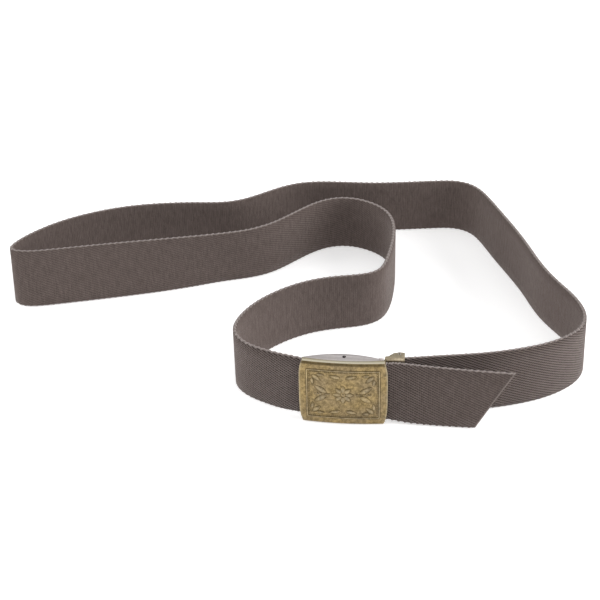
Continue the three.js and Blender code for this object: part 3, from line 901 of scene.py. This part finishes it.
def dome_leaf(name, length, width, rise):
    """A pointed dome with a midrib and a thin skirt round it, from the origin out along X."""
    rows = []
    for t in np.linspace(0, 1, 13):
        arch = abs(math.sin(math.pi * t ** LEAF_WIDEST)) ** LEAF_FULLNESS
        reach = max(LEAF_TIP, arch)
        x, half = t * length, width / 2 * reach
        row = [(x, -half - SKIRT, SKIRT_RISE)]
        for s in np.linspace(-1, 1, 9):
            midrib = MIDRIB_RISE * math.exp(-(s / MIDRIB_WIDTH) ** 2)
            dome = math.sqrt(max(0.0, 1 - s * s)) + midrib
            row.append((x, s * half, SKIRT_RISE + rise * reach * dome))
        rows.append([*row, (x, half + SKIRT, SKIRT_RISE)])
    return slab(name, rows, [[(x, y, RELIEF_ROOT) for x, y, _ in row] for row in rows])


def moulding(name, line, width, rise, closed=True):
    """A half-round strip with a thin skirt on either side, along a line on the ground."""
    line = np.array(line)
    ahead = np.roll(line, -1, 0) - np.roll(line, 1, 0)
    if not closed:
        ahead[0], ahead[-1] = line[1] - line[0], line[-1] - line[-2]
    ahead /= np.linalg.norm(ahead, axis=1, keepdims=True)
    side = np.stack([-ahead[:, 1], ahead[:, 0]], -1)
    hem, low = 0.5 + SKIRT / width, SKIRT_RISE / rise
    crown = arc((0, low), (0.5, 1), 0, 180, 7)
    profile = [(hem, -0.5), (hem, low), *crown, (-hem, low), (-hem, -0.5)]
    rings = [
        [(*(p + s * across * width), proud * rise) for across, proud in profile]
        for p, s in zip(line, side)
    ]
    return swept(name, rings, closed)


def rounded_frame(half_length, half_height):
    """A closed line round a rectangle with rounded corners."""
    line = []
    for number, (x, y) in enumerate(((1, 1), (-1, 1), (-1, -1), (1, -1))):
        centre = (x * (half_length - FRAME_CORNER), y * (half_height - FRAME_CORNER))
        line += arc(centre, FRAME_CORNER, 90 * number, 90 * number + 90, 6)
    full = []
    for a, b in zip(line, line[1:] + line[:1]):
        full.extend(np.linspace(a, b, max(1, round(math.dist(a, b) / FRAME_STEP)), endpoint=False))
    return full


print("the frame line has", len(rounded_frame(21, 16.4)), "points")

# %% The ornament
BORDER_WIDTH = 0.9
BORDER_MIDDLE = 4.65
GROUND_LENGTH = PLATE_HALF - BORDER_MIDDLE
GROUND_HEIGHT = MIDDLE - BORDER_MIDDLE
RELIEF = 0.38
PEARL = 0.42
PEARL_INSET = 1.25
PEARL_PITCH = 1.2
BOSS = 0.55
LEAF_RISE, STEM_RISE, BERRY_RISE = 0.9 * RELIEF, 0.8 * RELIEF, 0.1 + RELIEF
PETALS = 8
PETAL_START, PETAL_LENGTH, PETAL_WIDTH = 1.3, 4.9, 2.8
STEM_START, STEM_END, STEM_WIDTH = 7.4, 10.4, 0.7
PROUD_WEAR_AND_HIGHLIGHT = 0.1
SHADE_AND_PATINA_SHARE = 0.35

# distance from the middle, height, angle in degrees, length and width of each leaf in one quarter
LEAVES = [
    (9.5, 0.8, 34, 8.5, 3.2),
    (17.6, 12.9, 222, 6.4, 2.6),
    (17.9, 10.6, 262, 4.6, 1.9),
    (15.2, 13.2, 184, 4.6, 1.9),
    (1.6, 11.4, 12, 6.6, 2.4),
]
# distance from the middle and radius of each berry on one side
BERRIES = [(12.8, 0.75), (14.6, 0.6), (16.0, 0.45)]


def leaf_at(across, height, angle, length, width, right, up):
    """A leaf in one of the four quarters, which mirror each other."""
    leaf = dome_leaf("leaf", length, width, LEAF_RISE)
    turn = math.radians(angle)
    heading = math.atan2(up * math.sin(turn), right * math.cos(turn))
    place = Matrix.Translation((right * across, up * height, 0))
    leaf.data.transform(place @ Matrix.Rotation(heading, 4, "Z"))
    return leaf


def flat_ornament():
    pieces = [moulding("border", rounded_frame(GROUND_LENGTH, GROUND_HEIGHT), BORDER_WIDTH, RELIEF)]
    pearl_line = rounded_frame(GROUND_LENGTH - PEARL_INSET, GROUND_HEIGHT - PEARL_INSET)
    pearls = 4 * round((GROUND_LENGTH + GROUND_HEIGHT - 2 * PEARL_INSET) / PEARL_PITCH)
    pearl = pebble("pearl", (PEARL,) * 3, 4, 8)
    pieces.append(strung("pearls", [pearl_line], pearl, pearls, closed=True))
    petal = dome_leaf("petal", PETAL_LENGTH, PETAL_WIDTH, RELIEF)
    ring = ring_line((0, 0), PETAL_START, 32)
    pieces.append(strung("petals", [ring], petal, PETALS, twist=-math.pi / 2, closed=True))
    pieces.append(pebble("boss", (BOSS,) * 3, 8, 16))
    for row in LEAVES:
        pieces += [leaf_at(*row, right, up) for right in (1, -1) for up in (1, -1)]
    for right in (1, -1):
        stem = [(right * x, 0) for x in np.linspace(STEM_START, STEM_END, 6)]
        pieces.append(moulding("stem", stem, STEM_WIDTH, STEM_RISE, closed=False))
        for x, radius in BERRIES:
            berry = pebble("berry", (radius, radius, BERRY_RISE), 6, 12)
            berry.data.transform(Matrix.Translation((right * x, 0, 0)))
            pieces.append(berry)
    return joined("ornament", pieces)


def on_face(piece):
    """Lays relief on to the plate's bowed face, and marks its proud and its low points."""
    x, y, proud = coordinates(piece).T
    laid = np.stack([x, plate_bow(x) - proud, y + MIDDLE], -1)
    piece.data.vertices.foreach_set("co", laid.astype(np.float32).ravel())
    share = np.clip((proud - SKIRT_RISE) / RELIEF, 0, 1)
    # wear on the proud tops, and with it a painted highlight
    attribute(piece, "worn", PROUD_WEAR_AND_HIGHLIGHT * share ** 2)
    # patina round the bases, and with it painted shade
    attribute(piece, "crevice", np.clip(1 - share / SHADE_AND_PATINA_SHARE, 0, 1))
    return piece


ornament = count(on_face(flat_ornament()))

# %% [markdown]
# Antique brass is bright where hands rub it and dark with patina where they can't reach. Both follow
# the form, so the points carry them as two marks, and each also paints light: the rubbed mark paints
# highlights on the plate's upper lip, its ends and the tops of the relief, and the hollows' mark,
# besides the patina round the relief, paints shade there, in the plate's crease, in the bracket's
# holes and on the journals. Between the two the metal is mottled at two scales by the shared
# speckle, and inside its border the plate's own map adds a fine stipple.

# %% Antique brass
METAL_ROUGHNESS = 0.36
MOTTLING = {"Blotch": 520, "Grain": 1500}


def metal_map(piece):
    """A map in metres: u along the plate, v the height from its middle."""
    u, _, height = coordinates(piece)[corner_points(piece)].T
    face_map(piece, "face", u * MM, (height - MIDDLE) * MM)


def patina_and_painted_light_group():
    """Old metal's mottling and grain, and its marks for hollows and rubbed edges."""
    outputs = ["Dark", "Crevice", "Worn", "Grain"]
    group, given, sink = shader_group("patina", [*MOTTLING, "Amount"], outputs)
    blotch = speckle(group, given["Blotch"], 4, 3.0)
    grain = speckle(group, given["Grain"], 2, 2.6)
    both = maths("MULTIPLY_ADD", grain, 0.4, maths("MULTIPLY", blotch, 0.6))
    dark = maths("MULTIPLY", both, given["Amount"])
    # the marks carry patina with painted shade, and wear with painted highlights
    marks = {name.capitalize(): marked(group, name) for name in ("crevice", "worn")}
    feed(sink, {"Dark": dark, "Grain": grain, **marks})
    return group


PATINA_AND_PAINTED_LIGHT = patina_and_painted_light_group()


def ground_mask(tree):
    """1 inside the plate's border and 0 outside it, from the map named face."""
    across, up = (
        maths("DIVIDE", maths("ABSOLUTE", part), size * MM)
        for part, size in zip(map_parts(tree, "face"), (GROUND_LENGTH, GROUND_HEIGHT))
    )
    return maths("LESS_THAN", maths("MAXIMUM", across, up), 1.0)


def old_metal(name, bright, warm, dark, shade_and_patina_tone, worn, amount, shade_and_patina_amount, ground=False):
    """Metal in bright and warm patches, mottled dark, rubbed on its edges and dark in its hollows."""
    material, tree, shader = new_material(name)
    patina = new_node("ShaderNodeGroup", {**MOTTLING, "Amount": amount}, tree, node_tree=PATINA_AND_PAINTED_LIGHT)
    height = maths("MULTIPLY", patina["Grain"], 0.5)
    if ground:
        stipple = maths("MULTIPLY", speckle(tree, 1500, 0, 3), ground_mask(tree))
        height = maths("MULTIPLY_ADD", stipple, 0.5, height)
    tone = mixed(speckle(tree, 90, 1, 3.5), bright, warm)
    tone = mixed(patina["Dark"], tone, dark)
    # wear, and with it painted highlights: the rubbed mark mixes in the lightest tone
    tone = mixed(patina["Worn"], tone, worn)
    # painted shade, and patina round the relief: the hollows' mark mixes in the darkest tone
    hollow_darkening = maths("MULTIPLY", patina["Crevice"], shade_and_patina_amount)
    rough = maths("MULTIPLY_ADD", patina["Dark"], 0.2, METAL_ROUGHNESS)
    feed(shader, {
        "Base Color": mixed(hollow_darkening, tone, shade_and_patina_tone),
        "Roughness": maths("MULTIPLY_ADD", patina["Worn"], -0.12, rough),
        "Metallic": 1.0,
        "Normal": bump(height, 0.5, 0.12 * MM),
    })
    return material


PLATE_BRASS = old_metal(
    "plate_brass", bright=(0.345, 0.262, 0.146), warm=(0.395, 0.29, 0.135), dark=(0.085, 0.062, 0.032),
    shade_and_patina_tone=(0.06, 0.043, 0.022), worn=(0.95, 0.88, 0.68), amount=0.85, shade_and_patina_amount=0.65, ground=True,
)
CLAMP_BRASS = old_metal(
    "clamp_brass", bright=(0.55, 0.48, 0.36), warm=(0.62, 0.52, 0.35), dark=(0.19, 0.155, 0.11),
    shade_and_patina_tone=(0.067, 0.054, 0.039), worn=(0.74, 0.66, 0.5), amount=0.5, shade_and_patina_amount=0.85,
)
# steel takes no patina, so its near-black darkest tone is painted shade only, in holes and on journals
BRACKET_STEEL = old_metal(
    "bracket_steel", bright=(0.85, 0.80, 0.79), warm=(0.88, 0.82, 0.80), dark=(0.46, 0.42, 0.42),
    shade_and_patina_tone=(0.03, 0.027, 0.026), worn=(0.8, 0.78, 0.76), amount=0.3, shade_and_patina_amount=1.0,
)

face_plate = joined("face_plate", [plate_sheet, ornament])
metal_map(face_plate)
into_buckle(face_plate, PLATE_BRASS)

# %% [markdown]
# Behind the plate sits a folded steel bracket: a bowed wall with a lens-shaped cheek above and below
# it. A cheek is a flat blank with holes for the pin and the lock bar. Flat blanks come from a 2D
# curve, which fills its outline, leaves the holes open and rounds the edges as it gains thickness.

# %% Flat blanks
WEB_TOP = WEB_LOW + WEB_WIDTH
SHEET_GAP = 0.3
STEEL = 0.65
BLANK_EDGE = 0.12
CHEEK_LOW = 1.0
CHEEK_TOP = 40.5
CHEEK_HALF = 24
CHEEK_FRONT = 1.72
# how far back the cheek reaches in its middle and at its ends, and where it meets the pin's lobe
CHEEK_BACK, CHEEK_END, CHEEK_STOP = 12.5, 7.7, 19.3
WALL_HALF = 21
WALL_FRONT = 1.5
PIN = (21, 8.85)
PIN_RADIUS = 0.5
PIN_LOBE = 1.6
BAR = (0, 9.5)
BAR_HOLE = 1.05
# how far round the lock bar's hole the painted shade reaches
HOLE_RIM = 0.07


def blank(name, outline, holes, low):
    """A flat piece of sheet metal from closed lines in plan."""
    curve = bpy.data.curves.new(name, "CURVE")
    curve.dimensions = "2D"
    curve.fill_mode = "BOTH"
    curve.extrude = STEEL / 2 - BLANK_EDGE
    curve.bevel_depth = BLANK_EDGE
    curve.bevel_resolution = 1
    curve.offset = -BLANK_EDGE
    for line in [outline, *holes]:
        spline = curve.splines.new("POLY")
        spline.points.add(len(line) - 1)
        for point, (u, v) in zip(spline.points, line):
            point.co = (u, v, 0, 1)
        spline.use_cyclic_u = True
    piece = evaluated(placed(name, curve))
    piece.data.transform(Matrix.Translation((0, 0, low + STEEL / 2)))
    weld(piece)
    return piece


def cheek(low):
    """The lens between the wall's bow and a curved back, with a lobe round the pin."""
    front = [(u, plate_bow(u) + CHEEK_FRONT) for u in np.linspace(-CHEEK_HALF, CHEEK_HALF, 25)]
    rear = [
        (u, CHEEK_BACK - (CHEEK_BACK - CHEEK_END) * (u / CHEEK_HALF) ** 2)
        for u in np.linspace(-CHEEK_HALF, CHEEK_STOP, 24)
    ]
    outline = front + arc(PIN, PIN_LOBE, -18, 162, 13) + rear[::-1]
    holes = [ring_line(BAR, BAR_HOLE), ring_line(PIN, PIN_RADIUS + SHEET_GAP)]
    return blank("cheek", outline, holes, low)


def wall_place(point, share):
    depth, height = point
    u = share * WALL_HALF
    return (u, plate_bow(u) + depth, height)


def bracket_wall():
    """A sheet on edge that follows the plate's bow."""
    heights = np.linspace(CHEEK_LOW + STEEL / 2, CHEEK_TOP - STEEL / 2, 8)
    pairs = [((WALL_FRONT, height), (WALL_FRONT + STEEL, height)) for height in heights]
    return sheet_strip("wall", pairs, 40, wall_place, edge=0.15)


def shade_bar_holes(piece):
    u, v, _ = coordinates(piece).T
    # painted shade: the walls of the lock bar's holes take the steel's near-black darkest tone
    attribute(piece, "crevice", np.hypot(u - BAR[0], v - BAR[1]) < BAR_HOLE + HOLE_RIM)


bracket = joined("bracket", [bracket_wall(), cheek(CHEEK_LOW), cheek(CHEEK_TOP - STEEL)])
shade_bar_holes(bracket)
into_buckle(bracket, BRACKET_STEEL)

# %% [markdown]
# The strap is held by a bar that rolls against it, fluted so that it bites. A turned piece is a
# profile swept round its axis, and the flutes are one upright rib strung round a circle.

# %% Turned pieces
BAR_RADIUS = 2.5
BAR_JOURNAL = 0.75
FLUTES = 14
FLUTE_HALF, FLUTE_DEPTH = 0.3, 0.35
TIP_CHAMFER, CORE_CHAMFER = 0.15, 0.2


def turned(name, foot, place, sides):
    """A solid turned about an upright axis, from its foot's radii and heights. Both ends are alike."""
    profile = foot + [(radius, PLATE_HEIGHT - height) for radius, height in reversed(foot)]
    points = [(*place, profile[0][1])]
    for radius, height in profile[1:-1]:
        points += [(*p, height) for p in ring_line(place, radius, sides)]
    points.append((*place, profile[-1][1]))
    return new_piece(name, points, lathe_faces(len(profile) - 2, sides))


def rib(name, half_width, depth, low, high):
    """An upright half-round rib, along Z, standing out along -Y."""
    crown = arc((0, 0), (half_width, -depth), 0, 180, 5)
    section = [*crown, (-half_width, depth), (half_width, depth)]
    return swept(name, [[(x, y, z) for x, y in section] for z in (low, high)])


def shade_journals(piece):
    """Marks painted shade on the ends that turn in holes."""
    height = coordinates(piece)[:, 2]
    hollow_darkening = (height < WEB_LOW - EDGE_SLACK) | (height > WEB_TOP + EDGE_SLACK)
    attribute(piece, "crevice", hollow_darkening)
    return piece


def lock_bar_piece():
    low, core = WEB_LOW, BAR_RADIUS - FLUTE_DEPTH
    end = low - STEEL / 2 - SHEET_GAP
    foot = [
        (0, end), (BAR_JOURNAL - TIP_CHAMFER, end), (BAR_JOURNAL, end + TIP_CHAMFER),
        (BAR_JOURNAL, low), (core - CORE_CHAMFER, low), (core, low + CORE_CHAMFER),
    ]
    inset = 2 * CORE_CHAMFER
    flute = rib("flute", FLUTE_HALF, FLUTE_DEPTH, low + inset, WEB_TOP - inset)
    flutes = strung("flutes", [ring_line(BAR, core, 56)], flute, FLUTES, closed=True)
    return joined("lock_bar_fluted", [turned("core", foot, BAR, 24), flutes])


lock_bar = into_buckle(shade_journals(lock_bar_piece()), BRACKET_STEEL)

# %% [markdown]
# The strap's fixed end is held in a hinged clamp. Its wall is one sheet, rolled round a pin at the
# bracket's side, with an ear above and below that carries a toothed jaw. The sheet is drawn in plan,
# as pairs of points on its two faces, and carried upwards like any other strip.

# %% The clamp's lines
CLAMP_WALL = 0.8
CLAMP_SLOPE = 0.17
CLAMP_LEAN = math.degrees(math.atan(CLAMP_SLOPE))
CLAMP_START = PIN[0] + PIN_LOBE + SHEET_GAP
CLAMP_END = 34.2
CLAMP_STEP = 0.2
# outer radius of the roll, where the wall meets it, and where the roll starts outside, inside and ends
ROLL_RADIUS = 1.35
ROLL_EDGE = 22.6
ROLL_OUTSIDE, ROLL_INSIDE, ROLL_STOP = -62, -48, -330
JAW = (31, 15.1)
JAW_RADIUS = 0.55
JAW_THICKNESS = 1.2
JAW_REACH = 5.6


def clamp_line(u):
    """The clamp wall's front face, which swings back of the plate as it leaves the pin."""
    return PIN[1] - CLAMP_WALL / 2 + CLAMP_SLOPE * (u - PIN[0])


def clamp_pairs():
    """Front and back points in plan, from the wall's end to the pin and once round it."""
    front = [(u, clamp_line(u)) for u in np.linspace(CLAMP_END, ROLL_EDGE, 16)]
    wall = [((u, v), (u, v + CLAMP_WALL)) for u, v in front]
    stop = ROLL_STOP + CLAMP_LEAN
    outer = arc(PIN, ROLL_RADIUS, ROLL_OUTSIDE + CLAMP_LEAN, stop, 24)
    inner = arc(PIN, PIN_RADIUS + SHEET_GAP, ROLL_INSIDE + CLAMP_LEAN, stop, 24)
    return wall + list(zip(outer, inner))


def clamp_place(point, share):
    """Carries a point upwards: as far as the strap round the pin, and up to the ears further on."""
    ear_height = CHEEK_TOP - STEEL / 2 - MIDDLE
    step = (CLAMP_START - CLAMP_STEP, CLAMP_START + CLAMP_STEP)
    reach = float(np.interp(point[0], step, (WEB_WIDTH / 2, ear_height)))
    return (*point, MIDDLE + share * reach)


print("the clamp's wall ends at", round(clamp_line(CLAMP_END), 2), "mm behind the plate's face")

# %% The clamp's pieces
TEETH = 4
TOOTH_HALF, TOOTH_DEPTH = 0.45, 0.27
TEETH_START, TEETH_SHARE = 1, 0.9
EAR_GAP = 0.03
EAR_CORNER, EAR_LOBE = 0.9, 1.5


def ear(low):
    """The side of the clamp, from its wall back to the jaw's journal."""
    start = CLAMP_START + 0.1
    wall = clamp_line(start)
    # along the wall, round the far corner and the jaw's journal, and back to a near corner
    outline = [
        (start, wall + EAR_GAP),
        (CLAMP_END, clamp_line(CLAMP_END) + EAR_GAP),
        *arc((CLAMP_END - EAR_CORNER, JAW[1] + 0.3), EAR_CORNER, 0, 80, 5),
        *arc(JAW, EAR_LOBE, 80, 140, 6),
        (JAW[0] - 3.2, JAW[1] + 0.45),
        (start + 2.2, wall + 3.5),
        *arc((start + 1, wall + 2.2), 1, 120, 180, 4),
    ]
    return blank("ear", outline, [ring_line(JAW, JAW_RADIUS + SHEET_GAP, 16)], low)


def clamp_teeth():
    """Upright ridges along the inner face of the clamp's wall."""
    pitch = (CLAMP_END - CLAMP_START) / (TEETH + 1) * TEETH_SHARE
    first = CLAMP_START + TEETH_START + pitch
    line = [(u, clamp_line(u) + CLAMP_WALL) for u in (first, first + pitch * (TEETH - 1))]
    tooth = rib("tooth", TOOTH_HALF, TOOTH_DEPTH, WEB_LOW + EDGE_SLACK, WEB_TOP - EDGE_SLACK)
    return strung("teeth", [line], tooth, TEETH, twist=math.pi)


clamp = joined("end_clamp", [
    sheet_strip("clamp_wall", clamp_pairs(), 12, clamp_place, edge=0.15),
    ear(CHEEK_LOW),
    ear(CHEEK_TOP - STEEL),
    clamp_teeth(),
])
into_buckle(clamp, CLAMP_BRASS)

# %% The jaw and the pin
JAW_TEETH = 9
# one tooth's points: share of its pitch, and depth
JAW_TOOTH = ((0.08, 0.22), (0.5, 0.0), (0.92, 0.22))
# radius and height of the dome
PIN_HEAD, PIN_DOME = 0.9, 0.4
JAW_INSET, JAW_TAPER = 0.2, 0.3
JOURNAL_CHAMFER = 0.1


def jaw_line(u):
    return JAW[1] - JAW_THICKNESS / 2 + CLAMP_SLOPE * (u - JAW[0])


def jaw_place(point, share):
    return (*point, MIDDLE + share * WEB_WIDTH / 2)


def jaw():
    """A flat bar with fine teeth towards the strap, on two journals."""
    start, end = JAW[0] - JAW_REACH, CLAMP_END - JAW_INSET
    front = []
    for i in range(JAW_TEETH):
        for part, depth in JAW_TOOTH:
            u = start + (end - start) * (i + part) / JAW_TEETH
            front.append((u, jaw_line(u) + depth))
    rear = np.linspace(start + JAW_TAPER, end - JAW_TAPER, len(front))
    back = [(u, jaw_line(u) + JAW_THICKNESS) for u in rear]
    bar = sheet_strip("bar", list(zip(front, back)), 8, jaw_place, edge=0.1)
    low = WEB_LOW - STEEL / 2 - SHEET_GAP
    foot = [(0, low), (JAW_RADIUS - JOURNAL_CHAMFER, low), (JAW_RADIUS, low + JOURNAL_CHAMFER)]
    return joined("clamp_jaw", [bar, turned("journals", foot, JAW, 16)])


def pin():
    """The hinge pin, with a domed head at either end."""
    low = CHEEK_LOW - SHEET_GAP
    head = arc((0, low), (PIN_HEAD, -PIN_DOME), 90, 0, 6)
    return turned("hinge_pin", [*head, (PIN_RADIUS, low)], PIN, 16)


clamp_jaw = into_buckle(shade_journals(jaw()), CLAMP_BRASS)
hinge_pin = into_buckle(pin(), BRACKET_STEEL)

# %% [markdown]
# The photograph is a product shot on white, lit softly from all sides and a little more from above
# and the right. So the floor is a large white disc, the world is a pale dome, and three wide lamps
# give the metal something to reflect. The plain Standard view keeps white at white.

# %% Stage
FLOOR_RADIUS = 4
LAMP_SIZE = 1.0
# where each lamp stands, and its power
LAMPS = {
    "key": ((0.3, -0.6, 1.2), 2.2),
    "left": ((-1.3, 0.0, 0.6), 11),
    "right": ((1.3, -0.1, 0.6), 20),
}


def floor():
    """A white floor far past the frame, faintly lit from within like a light table."""
    rim = ring_line((0, 0), FLOOR_RADIUS, 48)
    piece = new_piece("floor", [(*p, 0) for p in rim], [tuple(range(48))])
    material, tree, shader = new_material("white_floor")
    feed(shader, {
        "Base Color": (0.9, 0.9, 0.9),
        "Roughness": 0.8,
        "Emission Color": (1, 1, 1),
        "Emission Strength": 0.42,
    })
    piece.data.materials.append(material)


def world(zenith, horizon):
    """A dome that is brightest overhead, so that rounded metal shows its form."""
    scene = bpy.context.scene
    scene.view_settings.view_transform = "Standard"
    scene.world = bpy.data.worlds.new("pale_dome")
    scene.world.use_nodes = True
    tree = scene.world.node_tree
    place = new_node("ShaderNodeTexCoord", {}, tree)["Generated"]
    height = new_node("ShaderNodeSeparateXYZ", {"Vector": place})["Z"]
    lift = smooth_step(height, 0.0, 0.6)
    strength = maths("MULTIPLY_ADD", lift, zenith - horizon, horizon)
    feed(tree.nodes["Background"], {"Color": (1, 1, 1), "Strength": strength})


def area_lamp(name, place, power):
    """A square lamp that faces the belt."""
    lamp = bpy.data.lights.new(name, "AREA")
    lamp.size = LAMP_SIZE
    lamp.energy = power
    aim = (-Vector(place)).to_track_quat("-Z", "Y").to_matrix().to_4x4()
    placed(name, lamp).matrix_world = Matrix.Translation(place) @ aim


floor()
world(zenith=0.64, horizon=0.25)
for name, (place, power) in LAMPS.items():
    area_lamp(name, place, power)
print("lamps:", len(bpy.data.lights))

# %% [markdown]
# Last, each piece is tied to the imported frame. The strap only bends and the fastened buckle stays
# shut, so there is one body and every piece rides on it. The solid of the model that a piece stands
# for is hidden.

# %% Ties to the frame
TIES = [
    (webbing_strap, "strap", "webbing"),
    (face_plate, "buckle_plate", "plate_brass"),
    (bracket, "buckle_bracket", "bracket_steel"),
    (lock_bar, "lock_bar", "bracket_steel"),
    (clamp, "clamp_body", "clamp_brass"),
    (clamp_jaw, "clamp_flap", "clamp_brass"),
    (hinge_pin, "clamp_pin", "bracket_steel"),
]
for piece, node, slot in TIES:
    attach(piece, "root")
    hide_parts(node)
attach(selvedge, "root")
